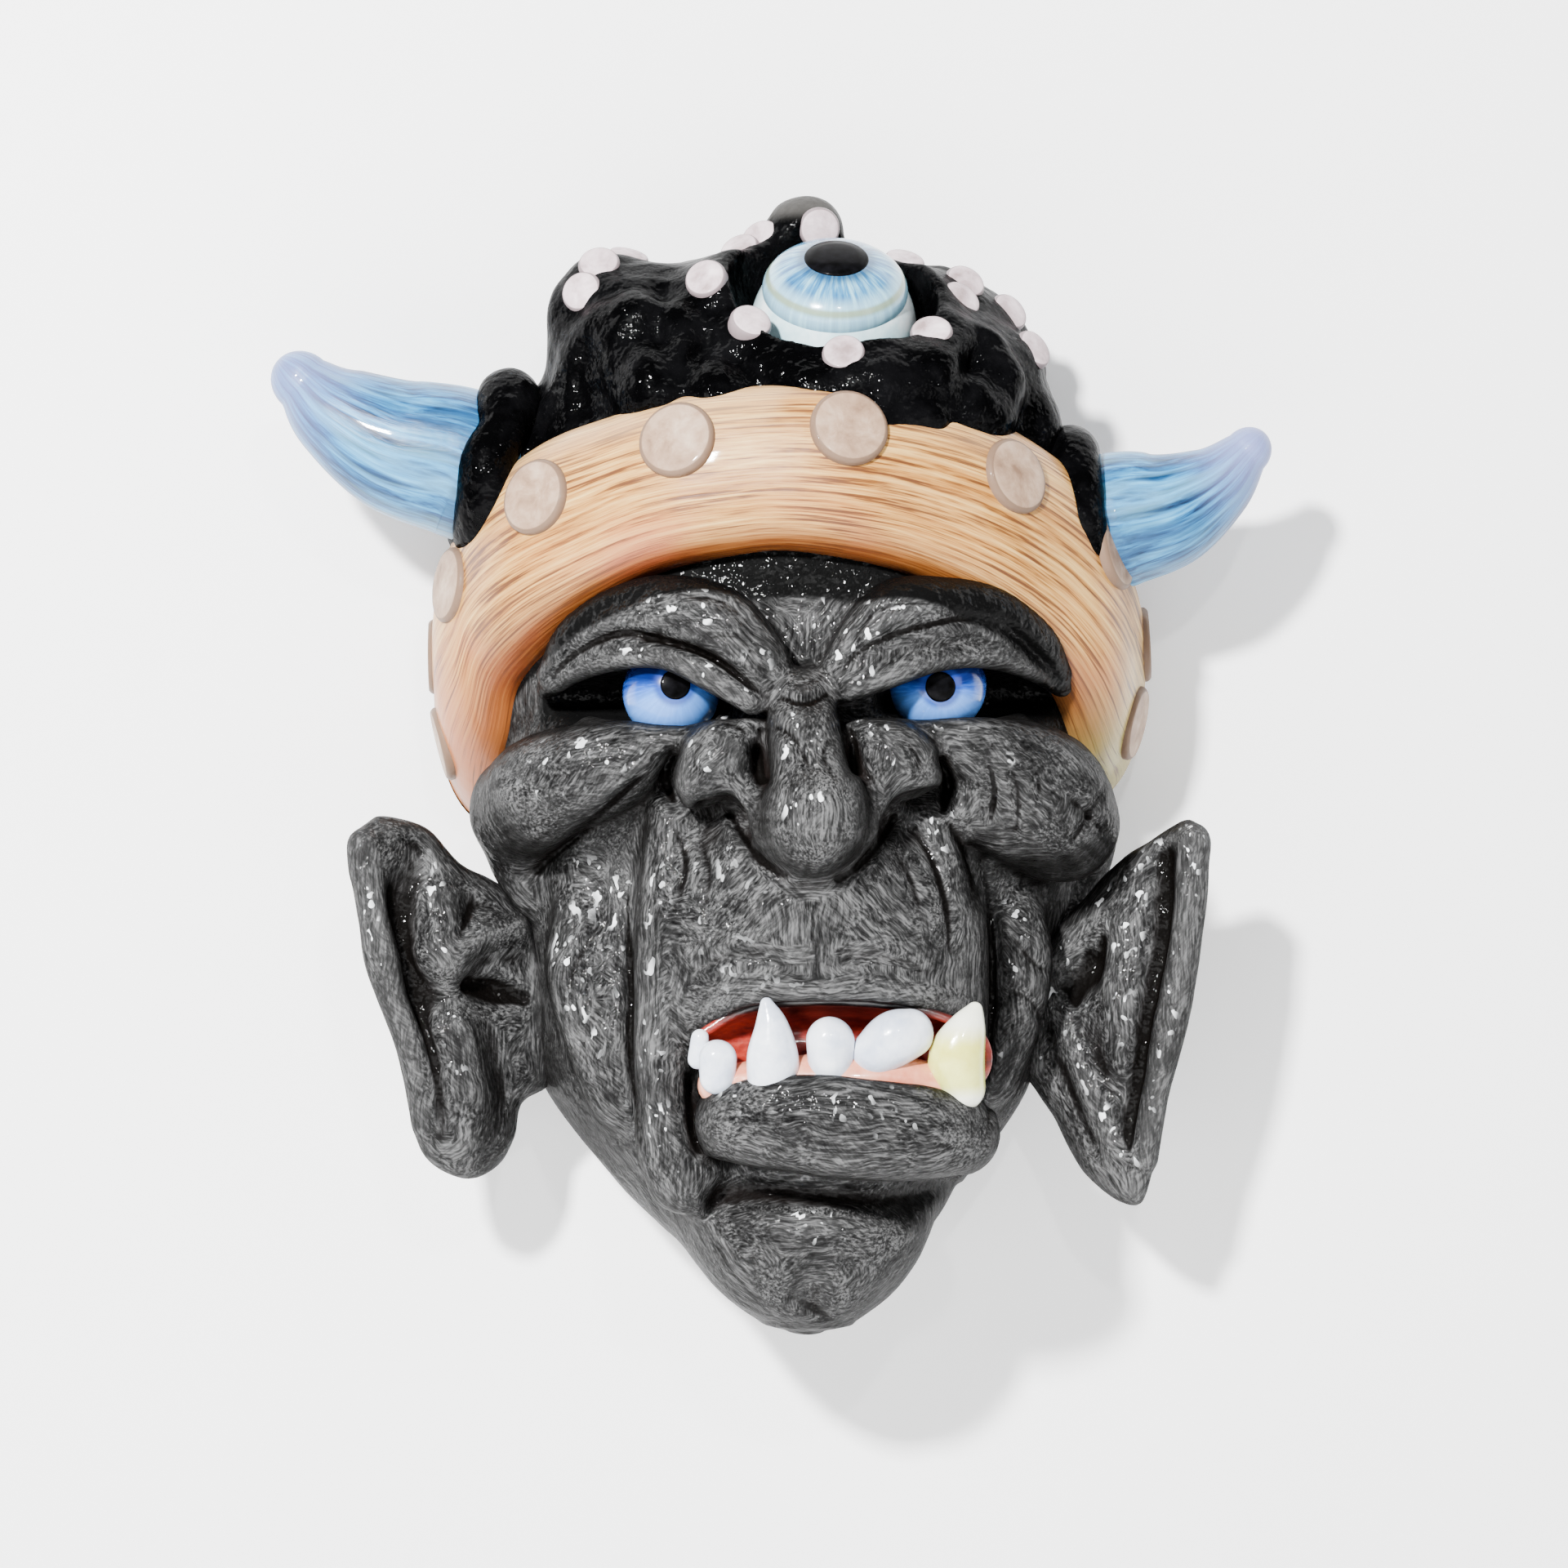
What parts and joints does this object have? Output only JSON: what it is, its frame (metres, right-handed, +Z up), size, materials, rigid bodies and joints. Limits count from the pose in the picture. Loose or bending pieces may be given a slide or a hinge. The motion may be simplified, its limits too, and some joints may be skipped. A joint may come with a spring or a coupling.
{
  "type": "folk art mask",
  "caption": "Wall-hung ogre mask with a hollow moulded head, black cap with a third eye, studded headband, curved horns, large ears and crooked teeth.",
  "frame": {"origin": "centre of the hanging hole where it meets the wall plane at the mask's open back", "axes": "+Z up, -Y the way the mask looks, +X to the right seen from the front; the wall is the plane y = 0"},
  "size_m": [0.2956, 0.13, 0.3341],
  "materials": {
    "grey_skin": "dark grey paint rubbed over black, under gloss varnish",
    "black_gloss": "black paint under thick gloss varnish",
    "cream_band": "cream paint with brushed ochre strokes, varnished",
    "blue_horn": "sky blue paint with darker strokes, varnished",
    "band_stud": "pale putty paint, varnished",
    "cap_stud": "off-white paint, varnished",
    "blue_glass_eye": "blue iris, glossy",
    "black_pupil": "gloss black",
    "pale_sclera": "very pale blue, glossy",
    "pale_blue_iris": "pale blue with streaks, glossy",
    "white_tooth": "cool white, glossy",
    "yellow_fang": "white with a pale yellow middle, glossy",
    "pink_gum": "salmon pink, glossy",
    "red_mouth": "dark red, glossy",
    "bare_wood": "sawn, unvarnished"
  },
  "bodies": {
    "root": {"band_stud_01": "band_stud", "band_stud_02": "band_stud", "band_stud_03": "band_stud", "band_stud_04": "band_stud", "band_stud_05": "band_stud", "band_stud_06": "band_stud", "band_stud_07": "band_stud", "band_stud_08": "band_stud", "band_stud_09": "band_stud", "band_stud_10": "band_stud", "cap_stud_01": "cap_stud", "cap_stud_02": "cap_stud", "cap_stud_03": "cap_stud", "cap_stud_04": "cap_stud", "cap_stud_05": "cap_stud", "cap_stud_06": "cap_stud", "cap_stud_07": "cap_stud", "cap_stud_08": "cap_stud", "cap_stud_09": "cap_stud", "cap_stud_10": "cap_stud", "cap_stud_11": "cap_stud", "cap_stud_12": "cap_stud", "cap_stud_13": "cap_stud", "cap_stud_14": "cap_stud", "cap_stud_15": "cap_stud", "crown_eye_iris": "pale_blue_iris", "crown_eye_pupil": "black_pupil", "crown_eye_white": "pale_sclera", "ear_left": "grey_skin", "ear_right": "grey_skin", "eye_left": "blue_glass_eye", "eye_right": "blue_glass_eye", "face_shell": "grey_skin", "hanging_bar": "bare_wood", "head_band": "cream_band", "horn_collar_left": "black_gloss", "horn_collar_right": "black_gloss", "horn_left": "blue_horn", "horn_peg_left": "bare_wood", "horn_peg_right": "bare_wood", "horn_right": "blue_horn", "lower_gum": "pink_gum", "mouth_lining": "red_mouth", "pupil_left": "black_pupil", "pupil_right": "black_pupil", "skull_cap": "black_gloss", "tooth_corner": "white_tooth", "tooth_fang_left": "white_tooth", "tooth_fang_right": "yellow_fang", "tooth_molar": "white_tooth", "tooth_round": "white_tooth", "tooth_small_left": "white_tooth"}
  },
  "joints": []
}
